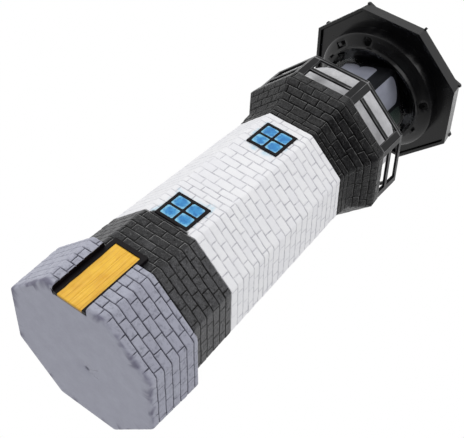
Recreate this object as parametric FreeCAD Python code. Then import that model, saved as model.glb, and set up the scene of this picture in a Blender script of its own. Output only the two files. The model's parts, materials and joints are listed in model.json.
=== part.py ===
import FreeCAD, Part
import math
import os
from FreeCAD import Placement, Rotation, Vector

# Garden lighthouse ornament: an octagonal cast tower with a gallery and a
# railing, and a lamp head that lifts off it. The head is a roof with a solar
# panel, a clear lamp room tube on a twist lock, and a beacon that a small
# motor turns round a fixed light. Millimetres, +Z up, origin on the ground at
# the middle of the tower's base. The door is on the -Y face.
#
# An octagon's radius is the one to its corners. Its flats face X and Y.

CORNER = math.pi / 8                      # from a flat's middle to its corner
FLAT = math.cos(CORNER)                   # apothem of an octagon of radius 1

# ------------------------------------------------------------ tower, driving
base_height = 43.6
base_foot_radius = 60.4
base_top_radius = 60.8
base_rounding = 2.2
base_floor = 6.0
vent_hole_radius = 1.3
base_wall = 13.0                          # at the corners, down to the hollow

band_height = 84.0                        # top of the dark band
band_radius = 52.0                        # the shaft's radius at that height
shaft_top = 207.5
shaft_top_radius = 46.2
shaft_wall = 5.2

neck_height = 12.0                        # plain courses under the flare
neck_radius = 47.8
flare_height = 14.8
gallery_radius = 59.0
gallery_lip = 8.7                         # upright edge above the flare
deck_radius = 58.1                        # at the lip's top
shelf_thickness = 4.5
shelf_drop = 2.5                          # tube's seat below the deck
shelf_hole_radius = 28.0

drum_height = 31.6                        # above the deck
drum_wall = 5.5
drum_rounding = 1.0

# ------------------------------------------------------------- door, driving
door_across = -2.3                        # door's middle
door_width = 19.3
door_height = 49.4
door_frame_bar = 3.4
door_set_back = 3.3                       # frame's face behind the base's foot
door_recess = 0.4                         # panel behind the frame's face
door_gap = 0.2
plank_count = 6
plank_groove = 0.4

# ---------------------------------------------------------- windows, driving
window_bar = 2.3
mullion = 1.7
window_depth = 1.6                        # pocket in the wall
window_proud = 0.7
pane_recess = 0.4
lower_window = {"across": -1.0, "height": 97.2, "width": 25.8, "tall": 23.4}
upper_window = {"across": -0.1, "height": 186.3, "width": 24.8, "tall": 23.8}

# ---------------------------------------------------------- railing, driving
railing_inset = 0.4                       # from the deck's edge, at the corners
railing_height = 23.2
rail_section = 2.3
mid_rail_height = 8.1                     # its underside, above the deck
mid_rail_tall = 2.7
post_leg = 5.2                            # along each side, from the corner

# ---------------------------------------------------- lamp room tube, driving
tube_radius = 37.4
tube_wall = 1.6
tube_height = 78.0
tube_floor = 1.6
tube_clearance = 0.4                      # in the drum
ring_clearance = 0.1                      # in the head's ring, at the radius
lug_reach = 1.2
lug_tall = 2.6
lug_drop = 3.6                            # lug's top below the tube's top
lug_width = 10.0                          # degrees
lug_azimuth = 22.0
lock_turn = 20.0                          # degrees from locked to free
lug_clearance = 0.2
seal_tall = 1.5

# -------------------------------------------------------- lamp head, driving
collar_wall = 2.05
collar_lap = 1.0                          # collar into the plate round it
ring_step = 1.4                           # level band beside the ring
ring_step_rise = 0.6
ring_flank = 2.2                          # ring that holds the tube, at its edge
face_width = 8.45                         # from that ring to the collar's side
ring_wall = 2.9                           # above the groove for the lugs
ring_reach = 11.1                         # below the ceiling
ring_edge = 3.1                           # ring below the sloping face
face_slope = 3.1                          # rise of that face, inside to out
face_rounding = 1.2
trough_floor = 5.0                        # trough's floor, above the face's inner edge
ceiling_thickness = 2.0
rim_drop = 4.0                            # roof's rim above the ceiling
plate_recess = 2.0                        # underside plate, above the rim
plate_thickness = 2.0
plate_gap = 1.05                          # plate to the roof's wall, at the corners
lug_stop_width = 3.0                      # rib on the ring that marks each lug
lug_stop_proud = 2.0
lug_stop_rise = 0.3                       # above the ring's edge

roof_lip = 9.9
roof_rim_radius = 64.2
roof_lip_radius = 62.6
roof_wall = 2.1
eave_step = 1.2
roof_rise = 18.1
roof_top_radius = 38.0
hip_width = 1.8
hip_proud = 1.3
hip_reach = 0.8                           # nub past the lip's corner
hip_nub_drop = 0.7                        # nub's foot below the lip's top
hip_root = 1.0                            # rib's back, below the slope
hip_nub_depth = 6.9                       # nub's foot, in from its face
hip_top_share = 0.6                       # rib's height left at the top

panel_size = 44.0
panel_frame = 2.0
panel_frame_tall = 3.0
panel_board = 1.2
panel_cell = 0.4
panel_cover = 1.2
panel_clearance = 0.1
cell_columns = 4
cell_gap = 0.8
lead_hole_radius = 2.5

screw_azimuth = -103.0
screw_count = 4
screw_shank = 1.45
screw_length = 12.0
screw_head_radius = 2.8
screw_head_tall = 1.6
screw_cross_width = 0.8
screw_cross_length = 3.2
screw_cross_depth = 1.0
screw_clearance = 0.25
screw_floor = 2.0                         # of the face's floor, under a head
boss_radius = 2.6

switch_azimuth = -137.0
switch_body = (4.6, 12.0, 4.6)            # radial, tangential, tall
switch_cavity = (3.8, 10.4, 2.5)
shoe_size = (3.5, 6.8, 2.0)
knob_size = (2.6, 3.0)
knob_reach = 3.3
knob_travel = 3.0
switch_recess = (5.0, 9.0, 1.4)
switch_clearance = 0.1
switch_recess_start = 1.6                 # above the face's inner edge
slot_clearance = 0.3
shoe_grip = 0.5                           # knob into its shoe

# ------------------------------------------------------------ drive, driving
gear_module = 0.8
gear_teeth = 48
pinion_teeth = 12
gear_thickness = 3.6
gear_gap = 1.6                            # below the ceiling
tooth_addendum = 0.85
tooth_dedendum = 1.15
tooth_backlash = 0.16
pressure_angle = math.radians(20.0)
motor_azimuth = 38.0
motor_radius = 10.0
motor_tall = 15.0
motor_boss_radius = 3.0
shaft_radius = 1.0
shaft_clearance = 0.05
shaft_in_motor = 8.0
motor_screw_offset = 7.5
motor_screw_radius = 0.9
motor_screw_head = 1.7
motor_screw_length = 5.0
motor_screw_head_tall = 1.2
motor_hole_clearance = 0.2
motor_screw_clearance = 0.15
shaft_end_gap = 0.5
pinion_rise = 0.3                         # above the gear's lower face

post_radius = 4.0
post_wall = 1.4
post_length = 20.0                        # below the ceiling
bearing_clearance = 0.05
clip_width = 2.2
clip_thickness = 1.0
clip_drop = 0.2                           # clip below the shade's floor
light_board_radius = 7.0
light_board_thickness = 1.2
light_radius = 2.5
light_tall = 8.6
light_offset = 3.4

# ----------------------------------------------------------- beacon, driving
shade_half = 22.8
shade_wall = 1.5
shade_height = 50.0
shade_top = 1.6
shade_rounding = 3.0
shade_turn = -107.0                       # azimuth of the first pair of windows
shade_hole_clearance = 0.6                # round the clip
lens_thickness = 1.1
lens_inset = 0.2
lens_drop = 2.0                           # window's top below the shade's top
lens_tall = 36.0
lens_arch_rise = 0.42                     # arch's rise over half its width
double_lens = (-18.9, 9.8)                # along the face, left and right end
double_lens_cusp = -5.6
single_lens = (-21.2, 2.3)
side_lens = (5.4, 19.4)

# --------------------------------------------------------- batteries, driving
cell_radius = 7.15
cell_length = 50.5
cell_tip_radius = 2.6
cell_tip = 1.0
cell_spacing = 15.2
cell_first_y = -10.6
tray_wall = 1.5
tray_floor = 1.2
tray_side = 7.0
tray_end = 15.0
tray_play = 0.25
contact_plate = 0.4
contact_size = 9.0

board_size = (24.0, 20.0, 1.6)
board_centre = (-23.5, 16.5)
standoff_radius = 2.0
standoff_tall = 8.0
chip_size = (6.0, 4.0, 1.6)
capacitor_radius = 2.5
capacitor_tall = 6.0
capacitor_place = (8.0, 5.0)              # from the board's middle
coil_radius = 3.4
coil_hole_radius = 1.2
coil_tall = 3.2
coil_place = (-7.5, -4.5)

# ------------------------------------------------------------ worked-out sizes
cavity_foot_radius = base_foot_radius - base_wall
door_plane = base_foot_radius * FLAT - door_set_back
door_top = door_height + door_frame_bar
shaft_taper = (band_radius - shaft_top_radius) / (shaft_top - band_height)
door_back = (band_radius + shaft_taper * (band_height - door_top)) * FLAT
neck_top = shaft_top + neck_height
flare_top = neck_top + flare_height
deck = flare_top + gallery_lip
shelf = deck - shelf_drop
drum_top = deck + drum_height
drum_bore = tube_radius + tube_clearance
drum_radius = drum_bore + drum_wall
railing_radius = deck_radius - railing_inset
rail_top = deck + railing_height

tube_bottom = shelf
tube_top = tube_bottom + tube_height
lug_top = tube_top - lug_drop
ceiling = tube_top + seal_tall
ceiling_top = ceiling + ceiling_thickness
ring_bottom = ceiling - ring_reach
face_inner_z = ring_bottom + ring_edge
face_outer_z = face_inner_z + face_slope
trough_z = face_inner_z + trough_floor
ring_radius = tube_radius + ring_clearance + ring_flank
collar_radius = ring_radius + face_width
trough_inner = tube_radius + ring_clearance + ring_wall
trough_outer = collar_radius - collar_wall
screw_ring_radius = (trough_inner + trough_outer) / 2
switch_radius = screw_ring_radius
plate_radius = roof_rim_radius - roof_wall / FLAT - plate_gap

rim = ceiling + rim_drop
plate_z = rim + plate_recess
plate_top = plate_z + plate_thickness
lip_top = rim + roof_lip
roof_top = lip_top + roof_rise

gear_top = ceiling - gear_gap
gear_bottom = gear_top - gear_thickness
gear_distance = gear_module * (gear_teeth + pinion_teeth) / 2
shade_top_z = gear_bottom
motor_x = gear_distance * math.cos(math.radians(motor_azimuth))
motor_y = gear_distance * math.sin(math.radians(motor_azimuth))
cell_z = ceiling_top + tray_floor + tray_play + cell_radius


# --------------------------------------------------------------------- helpers
def shaft_at(z):
    """The shaft's radius at a height."""
    return band_radius + shaft_taper * (band_height - z)


def octagon(radius, z):
    """Closed octagon wire, flats facing X and Y."""
    corners = []
    for step in range(8):
        angle = CORNER + step * math.pi / 4
        corners.append(Vector(radius * math.cos(angle), radius * math.sin(angle), z))
    return Part.makePolygon(corners + corners[:1])


def stack(*sections):
    """Solid through octagons, each given as (radius, z)."""
    return Part.makeLoft([octagon(radius, z) for radius, z in sections], True, True)


def cylinder(radius, z_low, z_high, x=0.0, y=0.0):
    return Part.makeCylinder(radius, z_high - z_low, Vector(x, y, z_low))


def tube(outer, inner, z_low, z_high, x=0.0, y=0.0):
    margin = 1.0
    hole = cylinder(inner, z_low - margin, z_high + margin, x, y)
    return cylinder(outer, z_low, z_high, x, y).cut(hole)


def block(x_low, x_high, y_low, y_high, z_low, z_high):
    corner = Vector(x_low, y_low, z_low)
    return Part.makeBox(x_high - x_low, y_high - y_low, z_high - z_low, corner)


def turned(shape, degrees):
    """A copy turned about the tower's axis."""
    copy = shape.copy()
    copy.rotate(Vector(0, 0, 0), Vector(0, 0, 1), degrees)
    return copy


def ringed(shape, count, first=0.0):
    """Copies evenly round the axis."""
    return [turned(shape, first + 360.0 * step / count) for step in range(count)]


def revolved(points):
    """Solid of revolution about the axis from (radius, z) points."""
    corners = [Vector(radius, 0, z) for radius, z in points]
    face = Part.Face(Part.makePolygon(corners + corners[:1]))
    return face.revolve(Vector(0, 0, 0), Vector(0, 0, 1), 360)


def sector(inner, outer, z_low, z_high, start, end):
    """Part of a ring between two azimuths, in degrees."""
    whole = Part.makeCylinder(outer, z_high - z_low, Vector(0, 0, z_low),
                              Vector(0, 0, 1), end - start)
    piece = whole.cut(cylinder(inner, z_low - 1, z_high + 1))
    return turned(piece, start)


def prism(points, thickness, place):
    """Flat outline in a local XY plane, thickened along local Z."""
    corners = [Vector(x, y, 0) for x, y in points]
    face = Part.Face(Part.makePolygon(corners + corners[:1]))
    solid = face.extrude(Vector(0, 0, thickness))
    solid.Placement = place
    return solid


def fused(shapes):
    whole = shapes[0]
    if len(shapes) > 1:
        whole = whole.multiFuse(shapes[1:])
    return whole.removeSplitter()


def save(name, *shapes):
    """Write one node, as its separate solids."""
    solids = [solid for shape in shapes for solid in shape.Solids]
    node = solids[0] if len(solids) == 1 else Part.makeCompound(solids)
    node.exportStep("parts/" + name + ".step")
    print(name, len(solids), "solids", round(sum(s.Volume for s in solids), 1), "mm3")


# ----------------------------------------------------------------------- tower
def cavity(z_low, z_high):
    """The tower's hollow between two heights."""
    wall = shaft_wall / FLAT
    return stack((shaft_at(z_low) - wall, z_low), (shaft_at(z_high) - wall, z_high))


def door_block(half, front, back, z_low, z_high):
    """Block about the door's middle line, from front to back."""
    return block(door_across - half, door_across + half, -front, -back, z_low, z_high)


def door_pocket():
    half = door_width / 2 + door_frame_bar + door_gap
    return door_block(half, base_top_radius, door_back, -1, door_top + door_gap)


def base_block():
    body = stack((base_foot_radius, 0), (base_top_radius, base_height))
    body = body.makeFillet(base_rounding, body.Edges)
    hollow = stack((cavity_foot_radius, base_floor), (cavity_foot_radius, base_height + 1))
    vent = cylinder(vent_hole_radius, -1, base_floor + 1)
    save("base_block", body.cut(hollow).cut(vent).cut(door_pocket()))


def window_place(window):
    """Frame of the sloping front wall at a window's middle."""
    tilt = math.degrees(math.atan(shaft_taper * FLAT))
    place = Vector(window["across"], -shaft_at(window["height"]) * FLAT, window["height"])
    return Placement(place, Rotation(Vector(1, 0, 0), 90 - tilt))


def window_block(window, half_width, half_tall, low, high, across=0.0, up=0.0):
    """Block on the wall, from low to high along its normal."""
    shape = block(across - half_width, across + half_width, up - half_tall, up + half_tall,
                  low, high)
    shape.Placement = window_place(window)
    return shape


def shafts():
    lower = stack((shaft_at(base_height), base_height), (shaft_at(band_height), band_height))
    lower = lower.cut(cavity(base_height, band_height)).cut(door_pocket())
    save("lower_shaft", lower)

    upper = stack((shaft_at(band_height), band_height), (shaft_top_radius, shaft_top))
    upper = upper.cut(cavity(band_height, shaft_top))
    for window in (lower_window, upper_window):
        pocket = window_block(window, window["width"] / 2, window["tall"] / 2,
                              -window_depth, window_depth)
        upper = upper.cut(pocket)
    save("upper_shaft", upper)


def gallery():
    body = stack((shaft_top_radius, shaft_top), (neck_radius, neck_top),
                 (gallery_radius, flare_top), (deck_radius, deck))
    body = body.cut(cavity(shaft_top, shelf - shelf_thickness))
    body = body.cut(cylinder(shelf_hole_radius, shelf - shelf_thickness - 1, shelf + 1))
    body = body.cut(cylinder(drum_bore, shelf, deck + 1))
    save("gallery", body)


def lamp_drum():
    body = tube(drum_radius, drum_bore, deck, drum_top)
    top_edges = [edge for edge in body.Edges
                 if abs(edge.BoundBox.ZMin - drum_top) < 1e-6 and edge.BoundBox.XLength > 1]
    save("lamp_drum", body.makeFillet(drum_rounding, top_edges))


def door():
    half = door_width / 2
    frame = door_block(half + door_frame_bar, door_plane, door_back, 0, door_top)
    frame = frame.cut(door_block(half, door_plane + 1, door_back - 1, -1, door_height))
    save("door_frame", frame)

    face = door_plane - door_recess
    panel = door_block(half, face, door_back, 0, door_height)
    spacing = door_width / plank_count
    for plank in range(1, plank_count):
        x = door_across - half + plank * spacing
        groove = block(x - plank_groove / 2, x + plank_groove / 2,
                       -face - 1, -face + plank_groove, -1, door_height + 1)
        panel = panel.cut(groove)
    save("door_panel", panel)


def window(name, size):
    half_width = size["width"] / 2
    half_tall = size["tall"] / 2
    frame = window_block(size, half_width, half_tall, -window_depth, window_proud)
    pane_half_width = (half_width - window_bar - mullion / 2) / 2
    pane_half_tall = (half_tall - window_bar - mullion / 2) / 2
    panes = []
    for side in (-1, 1):
        for level in (-1, 1):
            across = side * (mullion / 2 + pane_half_width)
            up = level * (mullion / 2 + pane_half_tall)
            hole = window_block(size, pane_half_width, pane_half_tall,
                                -window_depth - 1, window_proud + 1, across, up)
            frame = frame.cut(hole)
            panes.append(window_block(size, pane_half_width, pane_half_tall,
                                      -window_depth, window_proud - pane_recess, across, up))
    save(name + "_window_frame", frame)
    save(name + "_window_panes", *panes)


# --------------------------------------------------------------------- railing
def rail_ring(z_low, z_high):
    inner = railing_radius - rail_section / FLAT
    ring = stack((railing_radius, z_low), (railing_radius, z_high))
    return ring.cut(stack((inner, z_low - 1), (inner, z_high + 1)))


def corner_keeper(z_low, z_high):
    """Block round the middle of one side, between its two posts."""
    half_side = railing_radius * math.sin(CORNER) - post_leg
    return block(0, railing_radius, -half_side, half_side, z_low, z_high)


def railing():
    rail_low = rail_top - rail_section
    save("railing_top_rail", rail_ring(rail_low, rail_top))

    posts = rail_ring(deck, rail_low)
    for keeper in ringed(corner_keeper(deck - 1, rail_low + 1), 8):
        posts = posts.cut(keeper)
    save("railing_posts", posts)

    mid_low = deck + mid_rail_height
    band = rail_ring(mid_low, mid_low + mid_rail_tall)
    bars = [band.common(keeper) for keeper in ringed(corner_keeper(mid_low - 1, rail_top), 8)]
    save("railing_mid_rails", *bars)


# ------------------------------------------------------------- lamp room tube
def lug(margin, start, end, z_low, z_high):
    inner = tube_radius - tube_wall / 2
    return sector(inner, tube_radius + lug_reach + margin, z_low, z_high, start, end)


def lamp_tube():
    body = cylinder(tube_radius, tube_bottom, tube_top)
    body = body.cut(cylinder(tube_radius - tube_wall, tube_bottom + tube_floor, tube_top + 1))
    start = lug_azimuth - lug_width / 2
    lugs = ringed(lug(0, start, start + lug_width, lug_top - lug_tall, lug_top), 2)
    save("clear_tube", fused([body] + lugs))


# ------------------------------------------------------------------- lamp head
def collar():
    """Collar, ring and ceiling of the underside, turned in one profile."""
    bore = tube_radius + ring_clearance
    return revolved([
        (0, ceiling), (bore, ceiling), (bore, ring_bottom), (ring_radius, ring_bottom),
        (ring_radius, face_inner_z), (ring_radius + ring_step, face_inner_z + ring_step_rise),
        (collar_radius - face_rounding, face_outer_z),
        (collar_radius, face_outer_z + face_rounding), (collar_radius, plate_z),
        (collar_radius + collar_lap, plate_z), (collar_radius + collar_lap, plate_top),
        (trough_outer, plate_top), (trough_outer, trough_z), (trough_inner, trough_z),
        (trough_inner, ceiling_top), (0, ceiling_top)])


def lock_grooves():
    """Entry and turning groove for each lug."""
    start = lug_azimuth - lug_width / 2 - 1
    end = lug_azimuth + lug_width / 2 + 1
    low = lug_top - lug_tall - lug_clearance
    turning = lug(lug_clearance, start, end + lock_turn, low, lug_top + lug_clearance)
    entry = lug(lug_clearance, start + lock_turn, end + lock_turn, ring_bottom - 1, low + 1)
    return ringed(turning, 2) + ringed(entry, 2)


def screw_holes():
    hole = cylinder(screw_shank + screw_clearance, ring_bottom, trough_z + 1, screw_ring_radius)
    sink = cylinder(screw_head_radius + screw_clearance, ring_bottom,
                    trough_z - screw_floor, screw_ring_radius)
    return ringed(hole.fuse(sink), screw_count, screw_azimuth)


def switch_block(size, z_low, z_high, grow=0.0):
    """Block at the switch, size given as (radial, tangential)."""
    radial = size[0] / 2 + grow
    along = size[1] / 2 + grow
    shape = block(switch_radius - radial, switch_radius + radial, -along, along, z_low, z_high)
    return turned(shape, switch_azimuth)


def underside():
    plate = stack((plate_radius, plate_z), (plate_radius, plate_top))
    plate = plate.cut(cylinder(collar_radius + collar_lap / 2, plate_z - 1, plate_top + 1))
    post = cylinder(post_radius, ceiling - post_length, ceiling + 1)
    standoffs = [cylinder(standoff_radius, ceiling_top - 1, ceiling_top + standoff_tall,
                          board_centre[0] + side * board_size[0] / 3,
                          board_centre[1] - side * board_size[1] / 3) for side in (-1, 1)]
    stop = block(ring_radius - ring_wall / 2, ring_radius + lug_stop_proud,
                 -lug_stop_width / 2, lug_stop_width / 2,
                 ring_bottom + lug_stop_rise, face_inner_z + ring_step_rise * 2)
    body = fused([plate, collar(), post] + standoffs + ringed(stop, 2, lug_azimuth))

    cuts = lock_grooves() + screw_holes()
    cuts.append(cylinder(post_radius - post_wall, ceiling - post_length - 1, ceiling_top + 1))
    cuts.append(cylinder(motor_boss_radius + motor_hole_clearance, ceiling - 1, ceiling_top + 1,
                         motor_x, motor_y))
    cuts += motor_screw_set(motor_screw_radius + motor_screw_clearance,
                            ceiling - 1, ceiling_top + 1)
    recess_top = face_inner_z + switch_recess_start + switch_recess[2]
    cuts.append(switch_block(switch_recess, ring_bottom, recess_top))
    slot = (knob_size[0], knob_size[1] + knob_travel)
    cuts.append(switch_block(slot, ring_bottom, trough_z + 1, slot_clearance))
    for cut in cuts:
        body = body.cut(cut)
    save("head_base", body)


def seal():
    save("tube_seal", tube(tube_radius, tube_radius - tube_wall, tube_top, ceiling))


def switch():
    body = switch_block(switch_body, trough_z, trough_z + switch_body[2])
    hollow = switch_block(switch_cavity, trough_z - 1, trough_z + switch_cavity[2])
    save("switch_body", body.cut(hollow))

    # the knob rests at the off end of its slot
    shoe = switch_block(shoe_size, trough_z + switch_clearance,
                        trough_z + switch_clearance + shoe_size[2])
    knob = switch_block(knob_size, trough_z - knob_reach,
                        trough_z + switch_clearance + shoe_grip)
    slider = fused([shoe, knob])
    along = math.radians(switch_azimuth + 90)
    slider.translate(Vector(math.cos(along), math.sin(along), 0) * (-knob_travel / 2))
    save("switch_knob", slider)


def slope_height(radius):
    """The roof slope's height at a radius."""
    foot = roof_lip_radius - eave_step
    return lip_top + roof_rise * (foot - radius) / (foot - roof_top_radius)


def slope_radius(z, inset=0.0):
    """The roof slope's radius at a height, less an inset."""
    foot = roof_lip_radius - eave_step
    return foot + (roof_top_radius - foot) * (z - lip_top) / roof_rise - inset


def hip_rib():
    """Rib along one hip, ending in a nub past the lip's corner."""
    foot = roof_lip_radius + hip_reach
    points = [(foot, lip_top - hip_nub_drop), (foot, lip_top + hip_proud),
              (roof_top_radius, roof_top + hip_proud * hip_top_share),
              (roof_top_radius - roof_wall, roof_top - hip_root),
              (foot - hip_nub_depth, lip_top - hip_root)]
    place = Placement(Vector(0, hip_width / 2, 0), Rotation(Vector(1, 0, 0), 90))
    return turned(prism(points, hip_width, place), math.degrees(CORNER))


def roof():
    lip = stack((roof_rim_radius, rim), (roof_lip_radius, lip_top))
    slope = stack((slope_radius(lip_top), lip_top - 1), (slope_radius(lip_top), lip_top),
                  (roof_top_radius, roof_top))
    frame_half = panel_size / 2 + panel_frame
    frame = block(-frame_half, frame_half, -frame_half, frame_half,
                  roof_top - 1, roof_top + panel_frame_tall)
    body = fused([lip, slope, frame] + ringed(hip_rib(), 8))

    wall = roof_wall / FLAT
    inner_top = roof_top - roof_wall
    slope_wall = roof_wall * math.hypot(roof_rise, roof_lip_radius - roof_top_radius) / roof_rise
    inner_foot_z = lip_top - roof_wall
    hollow = stack((roof_rim_radius - wall, rim - 1), (roof_lip_radius - wall, inner_foot_z))
    body = body.cut(hollow)
    body = body.cut(stack((slope_radius(inner_foot_z, slope_wall), inner_foot_z - 0.5),
                          (slope_radius(inner_top, slope_wall), inner_top)))
    boss_top = slope_height((screw_ring_radius + boss_radius) / FLAT)
    boss = cylinder(boss_radius, trough_z, boss_top, screw_ring_radius)
    body = fused([body] + ringed(boss, screw_count, screw_azimuth))
    pilot = cylinder(screw_shank, trough_z - 1, trough_z + screw_length, screw_ring_radius)
    for hole in ringed(pilot, screw_count, screw_azimuth):
        body = body.cut(hole)
    half = panel_size / 2
    body = body.cut(block(-half, half, -half, half, roof_top, roof_top + panel_frame_tall + 1))
    body = body.cut(cylinder(lead_hole_radius, inner_top - 1, roof_top + 1))
    save("roof", body)


def solar_panel():
    half = panel_size / 2 - panel_clearance
    board_top = roof_top + panel_board
    save("solar_board", block(-half, half, -half, half, roof_top, board_top))
    column = (2 * half - cell_gap * (cell_columns + 1)) / cell_columns
    cells = []
    for number in range(cell_columns):
        x = -half + cell_gap + number * (column + cell_gap)
        cells.append(block(x, x + column, -half + cell_gap, half - cell_gap,
                           board_top, board_top + panel_cell))
    save("solar_cells", *cells)
    cover_low = board_top + panel_cell
    save("panel_cover", block(-half, half, -half, half, cover_low, cover_low + panel_cover))


def screws():
    seat = trough_z - screw_floor
    head = cylinder(screw_head_radius, seat - screw_head_tall, seat, screw_ring_radius)
    shank = cylinder(screw_shank, seat, seat + screw_length, screw_ring_radius)
    width, length, depth = screw_cross_width / 2, screw_cross_length / 2, screw_cross_depth
    cross = block(-width, width, -length, length, -depth, depth)
    cross = cross.fuse(block(-length, length, -width, width, -depth, depth))
    cross.translate(Vector(screw_ring_radius, 0, seat - screw_head_tall))
    screw = fused([head, shank]).cut(cross)
    save("roof_screws", *ringed(screw, screw_count, screw_azimuth))


# ----------------------------------------------------------------------- drive
def tooth_half_angle(radius, pitch_radius, teeth):
    """Half the angle that a tooth fills at a radius."""
    base_radius = pitch_radius * math.cos(pressure_angle)
    angle = math.acos(min(1.0, base_radius / radius))
    half = math.pi / (2 * teeth) - tooth_backlash / (2 * pitch_radius)
    half += math.tan(pressure_angle) - pressure_angle
    return half - (math.tan(angle) - angle)


def gear(teeth, z_low, z_high):
    """Spur gear on the axis, with a tooth's middle at azimuth 0."""
    pitch_radius = gear_module * teeth / 2
    tip = pitch_radius + tooth_addendum * gear_module
    root = pitch_radius - tooth_dedendum * gear_module
    base_radius = max(root + 0.05, pitch_radius * math.cos(pressure_angle))
    radii = [base_radius + (tip - base_radius) * step / 3 for step in range(4)]
    profile = [(root, tooth_half_angle(base_radius, pitch_radius, teeth))]
    profile += [(radius, tooth_half_angle(radius, pitch_radius, teeth)) for radius in radii]
    points = []
    for tooth in range(teeth):
        middle = 2 * math.pi * tooth / teeth
        for radius, half in profile:
            points.append((radius, middle - half))
        for radius, half in reversed(profile):
            points.append((radius, middle + half))
    corners = [Vector(r * math.cos(a), r * math.sin(a), z_low) for r, a in points]
    face = Part.Face(Part.makePolygon(corners + corners[:1]))
    return face.extrude(Vector(0, 0, z_high - z_low))


def motor_screw_set(radius, z_low, z_high):
    """Two cylinders beside the motor's shaft, square to its arm."""
    arm = math.radians(motor_azimuth + 90)
    places = [(motor_x + side * motor_screw_offset * math.cos(arm),
               motor_y + side * motor_screw_offset * math.sin(arm)) for side in (-1, 1)]
    return [cylinder(radius, z_low, z_high, x, y) for x, y in places]


def motor():
    can = cylinder(motor_radius, ceiling_top, ceiling_top + motor_tall, motor_x, motor_y)
    boss = cylinder(motor_boss_radius, ceiling, ceiling_top + 1, motor_x, motor_y)
    body = fused([can, boss])
    body = body.cut(cylinder(shaft_radius + shaft_clearance, ceiling - 1,
                             ceiling_top + shaft_in_motor, motor_x, motor_y))
    for hole in motor_screw_set(motor_screw_radius, ceiling_top - 1,
                                ceiling_top + motor_screw_length - ceiling_thickness):
        body = body.cut(hole)
    save("motor", body)

    shanks = motor_screw_set(motor_screw_radius, ceiling, ceiling + motor_screw_length)
    heads = motor_screw_set(motor_screw_head, ceiling - motor_screw_head_tall, ceiling)
    save("motor_screws", *[fused([shank, head]) for shank, head in zip(shanks, heads)])


def pinion():
    shaft = cylinder(shaft_radius, gear_bottom, ceiling_top + shaft_in_motor - shaft_end_gap,
                     motor_x, motor_y)
    save("motor_shaft", shaft)
    half_pitch = 180.0 / pinion_teeth
    wheel = gear(pinion_teeth, gear_bottom + pinion_rise, gear_top)
    wheel = turned(wheel, motor_azimuth + 180 + half_pitch)
    wheel.translate(Vector(motor_x, motor_y, 0))
    wheel = wheel.cut(cylinder(shaft_radius, gear_bottom - 1, gear_top + 1, motor_x, motor_y))
    save("motor_pinion", wheel)


def beacon_gear():
    wheel = turned(gear(gear_teeth, gear_bottom, gear_top), motor_azimuth)
    wheel = wheel.cut(cylinder(post_radius + bearing_clearance, gear_bottom - 1, gear_top + 1))
    save("beacon_gear", wheel)


def light():
    post_end = ceiling - post_length
    clip_top = shade_top_z - shade_top - clip_drop
    clip = tube(post_radius + clip_width, post_radius, clip_top - clip_thickness, clip_top)
    save("bearing_clip", clip)
    board = cylinder(light_board_radius, post_end - light_board_thickness, post_end)
    save("light_board", board)
    dome_z = post_end - light_board_thickness - light_tall + light_radius
    lamps = []
    for side in (-1, 1):
        x = side * light_offset
        stem = cylinder(light_radius, dome_z, post_end - light_board_thickness, x)
        dome = Part.makeSphere(light_radius, Vector(x, 0, dome_z))
        lamps.append(fused([stem, dome]))
    save("light_bulbs", *lamps)


# ---------------------------------------------------------------------- beacon
def shade_place(turn):
    """Local frame of one face of the shade: X along it, Y up, Z out."""
    face = Placement(Vector(0, -shade_half, 0), Rotation(Vector(1, 0, 0), 90))
    return Placement(Vector(0, 0, 0), Rotation(Vector(0, 0, 1), turn + 90)).multiply(face)


def arch(left, right, foot, top):
    """Outline of a window with a low arched head."""
    middle = (left + right) / 2
    half = (right - left) / 2
    rise = lens_arch_rise * half
    points = [(left, foot), (right, foot)]
    steps = 8
    for step in range(steps + 1):
        angle = math.pi * step / steps
        points.append((middle + half * math.cos(angle), top - rise + rise * math.sin(angle)))
    return points


def lens_set(grow, low, thickness):
    """The lens outlines of all four faces, as solids."""
    top = shade_top_z - lens_drop + grow
    foot = shade_top_z - lens_tall - grow
    solids = []
    for half_turn in (0, 180):
        for left, right, face in (
                (double_lens[0], double_lens_cusp, 0), (double_lens_cusp, double_lens[1], 0),
                (single_lens[0], single_lens[1], 90), (side_lens[0], side_lens[1], 90)):
            place = shade_place(shade_turn + half_turn + face)
            place = place.multiply(Placement(Vector(0, 0, low), Rotation()))
            solids.append(prism(arch(left, right, foot, top), thickness, place))
    return solids


def shade():
    half = shade_half
    outer = block(-half, half, -half, half, shade_top_z - shade_height, shade_top_z)
    uprights = [edge for edge in outer.Edges if edge.BoundBox.ZLength > 1]
    outer = outer.makeFillet(shade_rounding, uprights)
    inner = half - shade_wall
    hollow = block(-inner, inner, -inner, inner, shade_top_z - shade_height - 1,
                   shade_top_z - shade_top)
    body = turned(outer.cut(hollow), shade_turn + 90)
    body = body.cut(cylinder(post_radius + clip_width + shade_hole_clearance,
                             shade_top_z - shade_top - 1, shade_top_z + 1))
    for hole in lens_set(0.0, -shade_wall - 1, shade_wall + 2):
        body = body.cut(hole)
    save("beacon_shade", body)

    lenses = lens_set(0.0, -lens_inset - lens_thickness, lens_thickness)
    clear = [lens for number, lens in enumerate(lenses) if number % 4 != 3]
    pairs = [fused(clear[0:2]), clear[2], fused(clear[3:5]), clear[5]]
    save("beacon_lenses", *pairs)
    save("beacon_side_lenses", lenses[3], lenses[7])


# ----------------------------------------------------------------- electronics
def battery_rows():
    return [cell_first_y - number * cell_spacing for number in range(2)]


def batteries():
    cells = []
    half = cell_length / 2
    for y in battery_rows():
        body = Part.makeCylinder(cell_radius, cell_length - cell_tip,
                                 Vector(-half, y, cell_z), Vector(1, 0, 0))
        tip = Part.makeCylinder(cell_tip_radius, cell_tip,
                                Vector(half - cell_tip, y, cell_z), Vector(1, 0, 0))
        cells.append(fused([body, tip]))
    save("batteries", *cells)


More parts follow.
